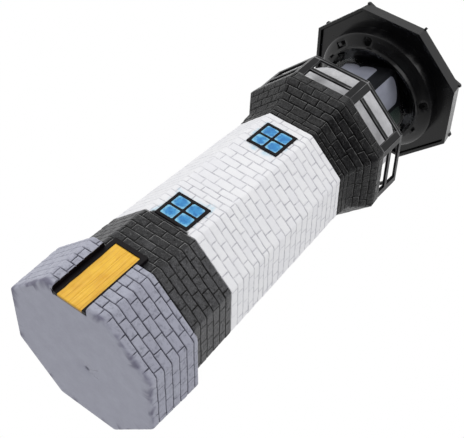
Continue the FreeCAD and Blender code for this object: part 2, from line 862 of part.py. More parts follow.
def tray():
    rows = battery_rows()
    inside = cell_length / 2 + contact_plate + tray_play
    y_low = rows[-1] - cell_radius - tray_play
    y_high = rows[0] + cell_radius + tray_play
    floor_top = ceiling_top + tray_floor
    body = block(-inside - tray_wall, inside + tray_wall, y_low - tray_wall, y_high + tray_wall,
                 ceiling_top, ceiling_top + tray_end)
    body = body.cut(block(-inside, inside, y_low, y_high, floor_top, ceiling_top + tray_end + 1))
    body = body.cut(block(-inside, inside, y_low - tray_wall - 1, y_high + tray_wall + 1,
                          ceiling_top + tray_side, ceiling_top + tray_end + 1))
    save("battery_tray", body)

    plates = []
    half = contact_size / 2
    for y in rows:
        for side in (-1, 1):
            low, high = sorted((side * (inside - contact_plate), side * inside))
            plates.append(block(low, high, y - half, y + half, cell_z - half, cell_z + half))
    save("battery_contacts", *plates)


def circuit_board():
    x, y = board_centre
    half_x, half_y = board_size[0] / 2, board_size[1] / 2
    low = ceiling_top + standoff_tall
    top = low + board_size[2]
    save("charge_board", block(x - half_x, x + half_x, y - half_y, y + half_y, low, top))
    chip = block(x - chip_size[0] / 2, x + chip_size[0] / 2,
                 y - chip_size[1] / 2, y + chip_size[1] / 2, top, top + chip_size[2])
    capacitor = cylinder(capacitor_radius, top, top + capacitor_tall,
                         x + capacitor_place[0], y + capacitor_place[1])
    coil = tube(coil_radius, coil_hole_radius, top, top + coil_tall,
                x + coil_place[0], y + coil_place[1])
    save("board_components", chip, capacitor, coil)


os.makedirs("parts", exist_ok=True)
base_block()
shafts()
gallery()
lamp_drum()
door()
window("lower", lower_window)
window("upper", upper_window)
railing()
lamp_tube()
underside()
seal()
switch()
roof()
solar_panel()
screws()
motor()
pinion()
beacon_gear()
light()
shade()
batteries()
tray()
circuit_board()
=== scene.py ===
import json
import math

import bpy
import numpy as np
from mathutils import Matrix, Vector


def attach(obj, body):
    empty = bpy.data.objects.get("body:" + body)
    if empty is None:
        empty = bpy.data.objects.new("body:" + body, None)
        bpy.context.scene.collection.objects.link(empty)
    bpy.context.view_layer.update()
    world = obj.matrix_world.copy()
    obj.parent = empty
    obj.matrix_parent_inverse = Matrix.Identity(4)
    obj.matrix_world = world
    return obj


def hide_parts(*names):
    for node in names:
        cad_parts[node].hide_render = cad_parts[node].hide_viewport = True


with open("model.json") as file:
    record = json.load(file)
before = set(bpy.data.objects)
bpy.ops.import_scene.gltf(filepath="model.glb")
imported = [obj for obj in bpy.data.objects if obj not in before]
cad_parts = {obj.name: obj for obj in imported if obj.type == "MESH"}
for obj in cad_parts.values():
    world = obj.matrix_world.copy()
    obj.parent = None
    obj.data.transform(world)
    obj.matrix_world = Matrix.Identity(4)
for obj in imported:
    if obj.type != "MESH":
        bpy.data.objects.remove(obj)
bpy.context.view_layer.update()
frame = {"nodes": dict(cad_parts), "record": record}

MM = 0.001
CORNER = math.pi / 8
FLAT = math.cos(CORNER)


# ------------------------------------------------------------------ photo view
def photo_camera():
    """The camera as fitted to the photo's corners: it looks up from the front."""
    data = bpy.data.cameras.new("photo_camera")
    data.sensor_width = 36.0
    data.lens = 87.468
    data.clip_start, data.clip_end = 0.01, 20.0
    camera = bpy.data.objects.new("photo_camera", data)
    bpy.context.scene.collection.objects.link(camera)
    right = Vector((0.78169065, -0.01197972, 0.62355129))
    down = Vector((0.46229875, 0.68222459, -0.56643576))
    ahead = Vector((-0.41861629, 0.73104452, 0.53882679))
    turn = Matrix((right, -down, -ahead)).transposed()
    camera.matrix_world = Matrix.Translation((0.312959, -0.548179, -0.257802)) @ turn.to_4x4()
    bpy.context.scene.camera = camera


# ------------------------------------------------------------------- materials
class Nodes:
    """A short way to wire one material's nodes."""

    def __init__(self, name):
        self.material = bpy.data.materials.new(name)
        self.material.use_nodes = True
        self.tree = self.material.node_tree
        self.shader = self.tree.nodes["Principled BSDF"]
        self.output = self.tree.nodes["Material Output"]
        self.place = self.tree.nodes.new("ShaderNodeTexCoord").outputs["Object"]

    def add(self, kind, **values):
        node = self.tree.nodes.new("ShaderNode" + kind)
        for key, value in values.items():
            if hasattr(node, key):
                setattr(node, key, value)
            else:
                node.inputs[key.replace("_", " ")].default_value = value
        return node

    def link(self, source, target):
        self.tree.links.new(source, target)

    def noise(self, size, detail=4.0, rough=0.55, place=None):
        """Noise with features of about that size in metres."""
        node = self.add("TexNoise", Scale=1.0 / size, Detail=detail, Roughness=rough)
        self.link(place or self.place, node.inputs["Vector"])
        return node.outputs["Fac"]

    def spread(self, value, low, high, to_low=0.0, to_high=1.0):
        node = self.add("MapRange")
        for socket, number in zip(("From Min", "From Max", "To Min", "To Max"),
                                  (low, high, to_low, to_high)):
            node.inputs[socket].default_value = number
        self.link(value, node.inputs["Value"])
        return node.outputs["Result"]

    def math(self, operation, first, second):
        node = self.add("Math", operation=operation)
        for socket, value in zip(node.inputs, (first, second)):
            if isinstance(value, (int, float)):
                socket.default_value = value
            else:
                self.link(value, socket)
        return node.outputs[0]

    def mix(self, share, first, second):
        node = self.add("Mix", data_type="RGBA")
        for socket, value in zip((node.inputs[0], node.inputs[6], node.inputs[7]),
                                 (share, first, second)):
            if isinstance(value, (int, float)):
                socket.default_value = value
            elif isinstance(value, tuple):
                socket.default_value = (*value, 1.0)
            else:
                self.link(value, socket)
        return node.outputs[2]

    def attribute(self, name):
        return self.add("Attribute", attribute_name=name).outputs["Fac"]

    def bump(self, *layers):
        """Bump from (height, distance in metres) layers, one over another."""
        normal = None
        for height, distance in layers:
            node = self.add("Bump", Distance=distance, Strength=1.0)
            self.link(height, node.inputs["Height"])
            if normal is not None:
                self.link(normal, node.inputs["Normal"])
            normal = node.outputs["Normal"]
        self.link(normal, self.shader.inputs["Normal"])

    def set(self, **values):
        for key, value in values.items():
            socket = self.shader.inputs[key.replace("_", " ")]
            if isinstance(value, (int, float)):
                socket.default_value = value
            elif isinstance(value, tuple):
                socket.default_value = (*value, 1.0)
            else:
                self.link(value, socket)


def cast_resin(name, light, dark, groove, rough, wear_and_glint=None, grain=0.00012, spots=0.0,
               specular=0.4, stain=None, paint=None, joints=0.6, reach=0.70):
    """Painted cast resin with a stony grain.

    The groove attribute is 1 in a joint. wear_and_glint is 1 on a brick's lit edges,
    for paint wear there and a painted highlight. tone differs from brick to brick, and
    on some walls by side, as painted light and shade. stain and paint lay other colours
    over the rest. reach is the groove at which a joint is dark."""
    n = Nodes(name)
    cloud = n.noise(0.012, 5.0, 0.6)
    speck = n.noise(0.0014, 3.0, 0.6)
    colour = n.mix(n.spread(n.math("ADD", cloud, n.attribute("tone")), 0.35, 0.65), dark, light)
    colour = n.mix(n.spread(speck, 0.45, 0.75, 0.0, 0.35), colour, dark)
    if spots:
        split = n.add("SeparateXYZ")
        n.link(n.place, split.inputs[0])
        share = n.math("MULTIPLY", n.spread(n.noise(0.0032, 5.0, 0.75), 0.50, 0.68, 0.0, spots),
                       n.spread(split.outputs["Z"], 0.001, 0.006))
        colour = n.mix(share, colour, groove)
    # paint wear and painted highlights on the lit brick edges, in the wear_and_glint colour
    if wear_and_glint:
        share = n.math("MULTIPLY", n.spread(n.attribute("wear_and_glint"), 0.05, 0.55),
                       n.spread(n.noise(0.004, 3.0, 0.6), 0.38, 0.54, 0.25, 1.0))
        colour = n.mix(share, colour, wear_and_glint)
        fleck = n.spread(n.noise(0.0013, 3.0, 0.7), 0.56, 0.70, 0.0, 0.16)
        colour = n.mix(fleck, colour, wear_and_glint)
    fade = n.spread(n.noise(0.005, 3.0, 0.65), 0.36, 0.60, joints, 1.0)
    joint = n.spread(n.attribute("groove"), 0.15 * reach, reach)
    colour = n.mix(n.math("MULTIPLY", joint, fade), colour, groove)
    for key, layer in (("stain", stain), ("paint", paint)):
        if layer:
            colour = n.mix(n.attribute(key), colour, layer)
    n.set(Base_Color=colour, Roughness=n.spread(cloud, 0.3, 0.7, rough - 0.05, rough + 0.07),
          Specular_IOR_Level=specular)
    n.bump((n.noise(0.0030, 4.0, 0.6), grain * 2.2), (n.noise(0.0009, 3.0, 0.7), grain))
    return n.material


def plastic(name, light, dark, rough, grain=0.00002, specular=0.5):
    """Moulded plastic with a fine texture and a faint change of tone."""
    n = Nodes(name)
    cloud = n.noise(0.010, 3.0, 0.5)
    n.set(Base_Color=n.mix(n.spread(cloud, 0.3, 0.7), dark, light),
          Roughness=n.spread(cloud, 0.3, 0.7, rough - 0.03, rough + 0.05),
          Specular_IOR_Level=specular)
    n.bump((n.noise(0.0007, 3.0, 0.6), grain))
    return n.material


def metal(name, tone, rough):
    n = Nodes(name)
    brushed = n.noise(0.0008, 3.0, 0.6)
    n.set(Base_Color=n.mix(n.spread(brushed, 0.3, 0.7), tuple(0.8 * c for c in tone), tone),
          Metallic=1.0, Roughness=n.spread(brushed, 0.3, 0.7, rough, rough + 0.12))
    n.bump((brushed, 0.000006))
    return n.material


def clear_plastic(name, tint, shine):
    """Thin clear plastic: what is behind shows, with a sheen at the rim."""
    n = Nodes(name)
    see = n.add("BsdfTransparent", Color=(*tint, 1.0))
    gloss = n.add("BsdfGlossy", Color=(1.0, 1.0, 1.0, 1.0), Roughness=0.05)
    edge = n.add("Fresnel", IOR=1.40)
    front = n.math("SUBTRACT", 1.0, n.add("NewGeometry").outputs["Backfacing"])
    blend = n.add("MixShader")
    n.link(n.math("MULTIPLY", n.spread(edge.outputs[0], 0.045, 1.0, 0.0, shine), front),
           blend.inputs[0])
    n.link(see.outputs[0], blend.inputs[1])
    n.link(gloss.outputs[0], blend.inputs[2])
    n.link(blend.outputs[0], n.output.inputs["Surface"])
    return n.material


def window_blue(name, middle, slope, pane, spread):
    """Glossy blue paint, deep in each pane's middle and pale at its edges.

    pane is a pane's half width and half height, spread its middle's distance
    from the window's own middle."""
    n = Nodes(name)
    split = n.add("SeparateXYZ")
    n.link(n.place, split.inputs[0])
    reach = None
    for axis, centre, half, step in (("X", middle[0], pane[0], spread[0]),
                                     ("Z", middle[1], pane[1], spread[1])):
        off = n.math("ABSOLUTE", n.math("SUBTRACT", split.outputs[axis], centre * MM), 0.0)
        off = n.math("ABSOLUTE", n.math("SUBTRACT", off, step * MM), 0.0)
        off = n.math("POWER", n.math("DIVIDE", off, half * MM), 2.6)
        reach = off if reach is None else n.math("ADD", reach, off)
    cloud = n.noise(0.003, 3.0, 0.6)
    reach = n.math("ADD", reach, n.spread(cloud, 0.3, 0.7, -0.35, 0.35))
    side = n.spread(n.math("ADD", split.outputs["X"], split.outputs["Z"]),
                    slope[0] * MM, slope[1] * MM, 0.0, 0.35)
    colour = n.mix(n.spread(cloud, 0.35, 0.65), (0.012, 0.17, 0.46), (0.035, 0.30, 0.64))
    colour = n.mix(n.spread(n.math("SUBTRACT", reach, side), 0.20, 1.0), colour,
                   (0.24, 0.58, 0.80))
    colour = n.mix(n.spread(reach, 1.45, 1.75), colour, (0.012, 0.02, 0.03))
    n.set(Base_Color=colour, Roughness=0.22, Specular_IOR_Level=0.5)
    n.bump((cloud, 0.00025))
    return n.material


def door_yellow(name):
    """Yellow paint with streaks down the planks, browned where it thins."""
    n = Nodes(name)
    grain = n.add("Mapping")
    grain.inputs["Scale"].default_value = (1.0, 1.0, 0.06)
    n.link(n.place, grain.inputs["Vector"])
    streak = n.noise(0.0011, 3.0, 0.6, grain.outputs[0])
    cloud = n.noise(0.008, 3.0, 0.5)
    colour = n.mix(n.spread(cloud, 0.3, 0.7), (0.80, 0.42, 0.028), (0.90, 0.53, 0.045))
    colour = n.mix(n.spread(streak, 0.50, 0.75, 0.0, 0.45), colour, (0.60, 0.28, 0.014))
    colour = n.mix(n.spread(n.attribute("groove"), 0.0, 1.0, 0.0, 0.75), colour,
                   (0.50, 0.24, 0.015))
    colour = n.mix(n.attribute("stain"), colour, (0.035, 0.016, 0.010))
    n.set(Base_Color=colour, Roughness=0.42, Specular_IOR_Level=0.4)
    n.bump((streak, 0.00016))
    return n.material


def solar_blue(name):
    """Solar cell with thin silver fingers across it."""
    n = Nodes(name)
    split = n.add("SeparateXYZ")
    n.link(n.place, split.inputs[0])
    finger = n.math("PINGPONG", split.outputs["Y"], 0.0011)
    line = n.spread(finger, 0.00012, 0.00020, 1.0, 0.0)
    cloud = n.noise(0.006, 2.0, 0.5)
    colour = n.mix(n.spread(cloud, 0.3, 0.7), (0.012, 0.02, 0.07), (0.02, 0.035, 0.11))
    n.set(Base_Color=n.mix(line, colour, (0.35, 0.37, 0.42)), Roughness=0.25)
    return n.material


# the fifth colour of slate, band_black and gallery_black is for paint wear and painted highlights
# on brick edges
slate = cast_resin("slate_resin", (0.39, 0.40, 0.475), (0.34, 0.345, 0.42), (0.058, 0.058, 0.085),
                   0.62, (0.46, 0.47, 0.55), grain=0.00020, spots=0.50,
                   stain=(0.13, 0.125, 0.185), reach=0.65)
band_black = cast_resin("band_black", (0.072, 0.072, 0.077), (0.019, 0.019, 0.021),
                        (0.002, 0.002, 0.002), 0.40, (0.50, 0.50, 0.50), 0.00055, 0.95, 0.28,
                        reach=0.30)
gallery_black = cast_resin("gallery_black", (0.032, 0.032, 0.033), (0.004, 0.004, 0.005),
                           (0.001, 0.001, 0.001), 0.30, (0.30, 0.30, 0.30), 0.00065, 0.8, 0.22,
                           reach=0.40)
white = cast_resin("white_resin", (0.84, 0.84, 0.86), (0.80, 0.80, 0.83), (0.50, 0.50, 0.54), 0.60,
                   stain=(0.42, 0.66, 0.80), paint=(0.030, 0.030, 0.032), joints=0.3)
# the drum's white is painted darker than the tower's, as painted shade under the lamp head and
# railing
drum_white_shaded = cast_resin("drum_white_shaded", (0.68, 0.68, 0.70), (0.48, 0.48, 0.50), (0.3, 0.3, 0.3),
                        0.6, grain=0.00030)
frame_paint = plastic("frame_paint", (0.008, 0.006, 0.007), (0.003, 0.002, 0.003), 0.40, 0.00008,
                      0.12)
cap_black = plastic("cap_black", (0.0035, 0.0035, 0.004), (0.002, 0.002, 0.0025), 0.24, 0.00001,
                    0.3)
rail_black = plastic("rail_black", (0.009, 0.009, 0.010), (0.003, 0.003, 0.004), 0.34, 0.00008,
                     0.2)
# painted highlights for the rounded edges of the railing and the lamp head
rail_edge_highlight = plastic("rail_edge_highlight", (0.22, 0.22, 0.225), (0.04, 0.04, 0.042), 0.34, 0.00006, 0.4)
head_edge_highlight = plastic("head_edge_highlight", (0.035, 0.035, 0.037), (0.012, 0.012, 0.013), 0.24, 0.00001, 0.4)
tube_clear = clear_plastic("tube_clear", (0.97, 0.98, 1.0), 0.45)
cover_clear = clear_plastic("cover_clear", (0.95, 0.97, 1.0), 1.0)
dark_screw = plastic("dark_screw", (0.003, 0.003, 0.003), (0.002, 0.002, 0.002), 0.4, 0.00002,
                     0.15)
shade_black = plastic("shade_black", (0.013, 0.013, 0.014), (0.009, 0.009, 0.010), 0.6, 0.00001,
                      0.1)

MATERIALS = {
    "slate_resin": slate, "black_resin": gallery_black, "white_resin": drum_white_shaded,
    "dark_frame": frame_paint, "yellow_door": door_yellow("door_yellow"),
    "black_railing": rail_black,
    "black_plastic": cap_black,
    "seal_rubber": plastic("seal_rubber", (0.03, 0.03, 0.03), (0.02, 0.02, 0.02), 0.8),
    "switch_plastic": plastic("switch_plastic", (0.02, 0.02, 0.022), (0.01, 0.01, 0.011), 0.35),
    "board_green": plastic("board_green", (0.05, 0.22, 0.09), (0.03, 0.16, 0.06), 0.45),
    "solar_cell": solar_blue("solar_blue"), "clear_cover": cover_clear,
    "screw_steel": dark_screw,
    "motor_steel": metal("motor_steel", (0.62, 0.62, 0.64), 0.30),
    "bulb_clear": plastic("bulb_clear", (0.90, 0.91, 0.88), (0.80, 0.82, 0.78), 0.15),
    "battery_wrap": plastic("battery_wrap", (0.10, 0.34, 0.16), (0.07, 0.27, 0.12), 0.28),
    "contact_steel": metal("contact_steel", (0.75, 0.75, 0.76), 0.2),
    "component_black": plastic("component_black", (0.04, 0.04, 0.045), (0.02, 0.02, 0.022), 0.5),
    "clear_plastic": tube_clear,
    "gear_plastic": plastic("gear_plastic", (0.80, 0.81, 0.77), (0.74, 0.75, 0.71), 0.42),
    "lens_frosted": plastic("lens_frosted", (0.33, 0.33, 0.37), (0.25, 0.25, 0.28), 0.5,
                            0.00002, 0.15),
    "lens_green": plastic("lens_green", (0.045, 0.065, 0.05), (0.025, 0.035, 0.03), 0.45,
                          0.00002, 0.15),
}


# ---------------------------------------------------------------- mesh helpers
def piece(name, vertices, faces, material, body, slot, **values):
    """A mesh in millimetres as a piece that rides on a body.

    values are numbers at its points that its material reads by name."""
    mesh = bpy.data.meshes.new(name)
    mesh.from_pydata((np.asarray(vertices, float) * MM).tolist(), [], faces)
    for key, numbers in values.items():
        layer = mesh.attributes.new(key, "FLOAT", "POINT")
        layer.data.foreach_set("value", np.asarray(numbers, np.float32))
    mesh.polygons.foreach_set("use_smooth", [True] * len(mesh.polygons))
    mesh.materials.append(material)
    mesh.update()
    shape = bpy.data.objects.new(name, mesh)
    bpy.context.scene.collection.objects.link(shape)
    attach(shape, body)
    return shape


def soften(shape, width, segments=2, rim=None):
    """Round an object's sharp edges; with a rim material the rounding gets a painted highlight."""
    weld = shape.modifiers.new("weld", "WELD")
    weld.merge_threshold = 0.000005
    bevel = shape.modifiers.new("bevel", "BEVEL")
    bevel.width = width * MM
    bevel.segments = segments
    bevel.limit_method = "ANGLE"
    bevel.angle_limit = math.radians(30)
    bevel.harden_normals = True
    if rim:
        shape.data.materials.append(rim)
        bevel.material = len(shape.data.materials) - 1


def table_noise(around, up, step, seed):
    """Smooth noise from -1 to 1 on the tower's wall, closed round it."""
    columns = max(8, round(360.0 / step))
    rng = np.random.default_rng(seed)
    table = rng.uniform(-1, 1, (columns, 500))
    u = around / 8.0 * columns
    v = up / step + 40.0
    i, j = np.floor(u).astype(int), np.clip(np.floor(v).astype(int), 0, 498)
    fu, fv = u - i, v - j
    fu, fv = fu * fu * (3 - 2 * fu), fv * fv * (3 - 2 * fv)
    i0, i1 = i % columns, (i + 1) % columns
    low = table[i0, j] * (1 - fu) + table[i1, j] * fu
    high = table[i0, j + 1] * (1 - fu) + table[i1, j + 1] * fu
    return low * (1 - fv) + high * fv


def wall_points(around, radius, height, out, tilt, corner):
    """Points on an eight-sided wall with rounded corners.

    around runs 0 to 8, one per side, from the middle of the front side."""
    side = np.floor(around + 0.5)
    share = around - side
    apothem, half = radius * FLAT, radius * math.sin(CORNER)
    straight = half - corner * math.tan(CORNER)
    run = share * 2 * (straight + corner * CORNER)
    over = np.maximum(np.abs(run) - straight, 0.0) / corner
    sign = np.sign(run)
    reach = corner + out * np.cos(tilt)
    x = apothem - corner + reach * np.cos(over)
    y = np.where(over > 0, sign * (straight + reach * np.sin(over)), run)
    azimuth = math.radians(-90) + side * math.pi / 4
    return np.stack([x * np.cos(azimuth) - y * np.sin(azimuth),
                     x * np.sin(azimuth) + y * np.cos(azimuth),
                     np.broadcast_to(height - out * np.sin(tilt), x.shape)], -1)


def ring_faces(rings):
    """Faces between neighbouring rings, and between the last and the first."""
    faces = []
    for ring in range(rings):
        a, b = ring * COLUMNS, ((ring + 1) % rings) * COLUMNS
        for column in range(COLUMNS):
            nxt = (column + 1) % COLUMNS
            faces.append((a + column, a + nxt, b + nxt, b + column))
    return faces


COLUMNS = 376                                 # points round a wall
GROOVE, BEVEL, HOLD, DEPTH = 0.48, 0.22, 0.36, 0.85     # a joint's floor, slope, edge and depth
SLOPE_MARK = 0.25                             # groove mark on a joint's slope
SLOPE_DROP = 0.07
COURSE_WANDER, FINE_WANDER = 0.22, 0.09       # how far courses stray from level
STAND, LEAN, TONE = 0.10, 0.30, 0.12          # how bricks differ
SUNK_DEPTH = 1.0
PLAIN = (0.0, 0.0, 0.0)
# places round the wall, in sides from the middle of the front
FRONT_EDGE = (0.44, 0.56)
# LEFT_LIT spans the lit side left of the front, where joints are painted paler as painted light
LEFT_FILL, LEFT_LIT = (-1.6, -1.45, -0.52, -0.24), (-1.6, -1.45, -0.52, -0.4)


def joints_round(known, side, brick, seed):
    """All of a course's upright joints, 0 to 8, from the known ones."""
    rng = np.random.default_rng(seed)
    places = sorted((face + across / side) % 8 for face, row in known.items() for across in row)
    if not places:
        places = [rng.uniform(0, 1)]
    filled = []
    for number, place in enumerate(places):
        nxt = places[(number + 1) % len(places)] + (8 if number + 1 == len(places) else 0)
        filled.append(place)
        count = max(1, round((nxt - place) * side / brick))
        inner = place + (nxt - place) * np.arange(1, count) / count
        filled += list((inner + rng.uniform(-0.7, 0.7, count - 1) / side) % 8)
    return np.array(sorted(filled))


def brick_wall(profile, lines, known, brick, corner, seed, depth=DEPTH, foot=0.0, sunk=(),
               filled=False, glint_off_front=1.0, side_light=0.0, pale=1.0):
    """Rings of a brick wall: courses between the lines, joints round each.

    profile(t) gives (radius, height, tilt) at a height or length t. Joints fade
    out over the foot's length. sunk lists rectangles of the front side, as
    (left, right, low, high), where the wall lies back. Where it is filled, the
    joints left of the front side are shallower. glint_off_front is the share of the
    paint wear and painted highlight kept off the front side, side_light how much
    paler the wall is painted off the front side and darker on it, as painted light
    and shade, and pale how dark the joints are painted left of the front, where a
    lower pale paints that lit side paler, as painted light."""
    rings, marks = [], []
    half = GROOVE / 2
    flat = np.arange(COLUMNS) * 8.0 / COLUMNS
    for course in range(len(lines) - 1):
        low, high = lines[course], lines[course + 1]
        middle_radius = profile((low + high) / 2)[0]
        side = 2 * middle_radius * math.sin(CORNER)
        joints = joints_round(known.get(course, {}), side, brick, seed + course)
        kind, lit_side_edge = np.zeros(COLUMNS), np.zeros(COLUMNS)
        anchors, places, kinds = [], [], []
        for joint in joints:
            centre = int(round(joint / 8 * COLUMNS - 0.5))
            for step, off, deep in ((-2, -half - BEVEL - HOLD, 0.0),
                                    (-1, -half - BEVEL, SLOPE_MARK),
                                    (0, -half, 1.0), (1, half, 1.0),
                                    (2, half + BEVEL, SLOPE_MARK),
                                    (3, half + BEVEL + HOLD, 0.0)):
                anchors.append(centre + step)
                places.append(joint + off / side)
                kinds.append(deep)
        order = np.argsort(anchors)
        anchors = np.array(anchors)[order]
        places, kinds = np.array(places)[order], np.array(kinds)[order]
        wrap = np.concatenate([anchors - COLUMNS, anchors, anchors + COLUMNS])
        wrap_places = np.concatenate([places - 8, places, places + 8])
        around = np.interp(np.arange(COLUMNS), wrap, wrap_places)
        kind[anchors % COLUMNS] = kinds
        centres = np.round(joints / 8 * COLUMNS - 0.5).astype(int)
        # painted highlight: the edge on the lit side of each upright joint
        lit_side_edge[(centres + 2) % COLUMNS] = 1.0
        which = np.searchsorted(joints, around % 8) % len(joints)
        rng = np.random.default_rng(seed * 7 + course)
        stand = rng.uniform(-STAND, STAND, len(joints))[which]
        lean = rng.uniform(-LEAN, LEAN, len(joints) + 1)[which]
        tone = rng.uniform(-TONE, TONE, len(joints))[which]
        wander = [COURSE_WANDER * table_noise(flat, np.full(COLUMNS, t), 6.0, seed + 31)
                  + FINE_WANDER * table_noise(flat, np.full(COLUMNS, t), 1.7, seed + 32)
                  if lines[0] < t < lines[-1] else np.zeros(COLUMNS) for t in (low, high)]
        tall = high - low
        inner = tall - GROOVE - 2 * (BEVEL + HOLD)
        levels = [(half, 1.0), (half + BEVEL, SLOPE_MARK), (half + BEVEL + HOLD, 0.0)]
        levels += [(half + BEVEL + HOLD + inner * s, 0.0) for s in (0.25, 0.5, 0.75)]
        levels += [(tall - half - BEVEL - HOLD, 0.0), (tall - half - BEVEL, SLOPE_MARK),
                   (tall - half, 1.0)]
        for up, deep in levels:
            if foot and course == 0 and up < tall / 2:
                deep = 0.0
            share = up / tall
            t = low + up + wander[0] * (1 - share) + wander[1] * share
            fade = np.clip((t - lines[0]) / foot, 0, 1) if foot else np.ones(COLUMNS)
            fade = fade * (0.85 + 0.15 * table_noise(around, t, 3.1, seed + 8))
            turn = (around + 4) % 8 - 4
            beside = np.interp(np.abs(turn), FRONT_EDGE, (0.0, 1.0))
            if filled:
                fade = fade * np.interp(turn, LEFT_FILL, (1.0, 0.6, 0.5, 1.0))
            slant = (lean * (share - 0.5) + 0.14 * table_noise(around, t, 1.9, seed + 9)) / side
            cut = np.maximum(kind, deep)
            face = 0.09 * table_noise(around, t, 2.3, seed + 5)
            face += 0.07 * table_noise(around, t, 1.3, seed + 6)
            out = np.where(cut >= 1.0, -depth * fade,
                           np.where(cut > 0, -SLOPE_DROP * fade + stand * 0.6 + face,
                                    stand + face))
            for left, right, bottom, top in sunk:
                run = np.where((around < 0.5) | (around > 7.5), (around + 4) % 8 - 4, 9) * side
                inside = (run > left) & (run < right) & (t > bottom) & (t < top)
                out = np.where(inside, -SUNK_DEPTH, out)
            radius, height, tilt = profile(t)
            rings.append(wall_points(around + slant, radius, height, out, tilt, corner))
            # painted highlight on each course's top edge, the edge the light falls on
            lit_top_edge = 1.0 if abs(up - (tall - half - BEVEL)) < 1e-6 else 0.0
            # painted light: left of the front the joints are painted paler and the bricks take the
            # wear_and_glint colour, where that side is lit
            dark = np.interp(turn, LEFT_LIT, (1.0, pale, pale, 1.0))
            wear_and_glint = np.where((kind >= 1.0) | (deep >= 1.0), 0.0, np.maximum(lit_side_edge, lit_top_edge))
            wear_and_glint = np.maximum(wear_and_glint, 0.6 * (1 - dark))
            # side_light paints the wall paler or darker by side, and glint_off_front thins the
            # painted highlights off the front: painted light and shade
            marks.append((cut * fade * dark, wear_and_glint * fade * (1 + (glint_off_front - 1) * beside),
                          tone + side_light * (beside * 2 - 1)))
    return rings, marks


def plain_ring(radius, height, corner=2.0, round_share=0.0):
    """One level ring; round_share turns the octagon into a circle."""
    flat = np.arange(COLUMNS) * 8.0 / COLUMNS
    points = wall_points(flat, radius, height, np.zeros(COLUMNS), 0.0, corner)
    if round_share:
        angle = np.arctan2(points[:, 1], points[:, 0])
        circle = np.stack([radius * np.cos(angle), radius * np.sin(angle), points[:, 2]], -1)
        points = points * (1 - round_share) + circle * round_share
    return points


def ring_piece(name, rings, marks, material, body, slot, **layers):
    """Rings of points closed into one skin.

    marks holds each ring's groove, wear_and_glint and tone; layers give shares at points."""
    vertices = np.concatenate(rings)
    values = {key: np.concatenate([np.broadcast_to(mark[number], COLUMNS) for mark in marks])
              for number, key in enumerate(("groove", "wear_and_glint", "tone"))}
    for key, layer in layers.items():
        values[key] = layer(vertices)
    return piece(name, vertices, ring_faces(len(rings)), material, body, slot, **values)


def cut_box(shape, low, high):
    """Take a box, in millimetres, out of a piece, and paint the cut's sides."""
    corners = [(x, y, z) for x in (low[0], high[0]) for y in (low[1], high[1])
               for z in (low[2], high[2])]
    faces = [(0, 1, 3, 2), (4, 6, 7, 5), (0, 4, 5, 1), (2, 3, 7, 6), (0, 2, 6, 4), (1, 5, 7, 3)]
    mesh = bpy.data.meshes.new("cutter")
    mesh.from_pydata([tuple(c * MM for c in corner) for corner in corners], [], faces)
    cutter = bpy.data.objects.new("cutter", mesh)
    bpy.context.scene.collection.objects.link(cutter)
    cut = shape.modifiers.new("cut", "BOOLEAN")
    cut.operation, cut.object, cut.solver = "DIFFERENCE", cutter, "MANIFOLD"
    ready = shape.evaluated_get(bpy.context.evaluated_depsgraph_get())
    mesh = bpy.data.meshes.new_from_object(ready)
    shape.modifiers.clear()
    mesh.materials.append(frame_paint)
    for face in mesh.polygons:
        if min(abs(face.center.x - low[0] * MM), abs(face.center.x - high[0] * MM)) < 0.00001:
            face.material_index = len(mesh.materials) - 1
    shape.data = mesh
    bpy.data.objects.remove(cutter)


# ----------------------------------------------------------------------- tower
BASE_HEIGHT, BAND_HEIGHT, SHAFT_TOP = 43.6, 84.0, 207.5
BASE_RADIUS, BASE_SPREAD, BASE_CORNER = 60.4, 0.4, 2.6
BASE_BORE, BASE_ROOF = 47.4, 6.0              # the hollow under the shaft, and its floor
SEAT_EDGE, SEAT = 58.2, 52.0                  # the base's flat top
SHAFT_RADIUS, SHAFT_TOP_RADIUS, SHAFT_CORNER = 52.0, 46.2, 2.4
TAPER = (SHAFT_RADIUS - SHAFT_TOP_RADIUS) / (SHAFT_TOP - BAND_HEIGHT)
WALL = 5.2 / FLAT
BASE_BRICK, BRICK = 12.2, 12.4                # usual brick lengths


def shaft_radius(z):
    return SHAFT_RADIUS + TAPER * (BAND_HEIGHT - z)


def shaft_profile(t):
    return shaft_radius(t), t, 0.0


# upright joints read off the front (0), the next two sides (1 and 2), in mm
BASE_LINES = [0.6, 6.8, 13.2, 19.7, 26.2, 32.7, 39.0, 43.4]
BASE_JOINTS = {
    0: {0: [-16.0, 19.0], 1: [-20.2, -8.0, 3.8, 15.8], 2: [-14.9, -1.0, 12.5]},
    1: {0: [-21.5, 17.0], 1: [-15.0, -3.3, 8.5, 20.2], 2: [-10.0, 2.0, 18.9]},
    2: {0: [-17.0, 21.2], 1: [-10.8, 0.5, 12.3], 2: [-17.1, -4.0, 7.7]},
    3: {0: [-20.0, 15.0], 1: [-19.0, -6.6, 5.6, 17.0], 2: [-11.1, 2.4, 14.0]},
    4: {0: [-20.8, 17.7], 1: [-15.0, -3.0, 9.6, 21.0], 2: [-7.0, 6.5, 18.5]},
    5: {0: [-15.2, 21.8], 1: [-10.3, 1.8, 14.2], 2: [-15.6, -1.7, 11.0]},
    6: {0: [-18.0, 15.4], 1: [-17.5, -5.4, 6.9, 19.1], 2: [-12.0, 0.0, 12.0]},
}
BAND_LINES = [43.6, 46.6, 52.9, 59.2, 65.5, 71.9, 78.2, 84.0]
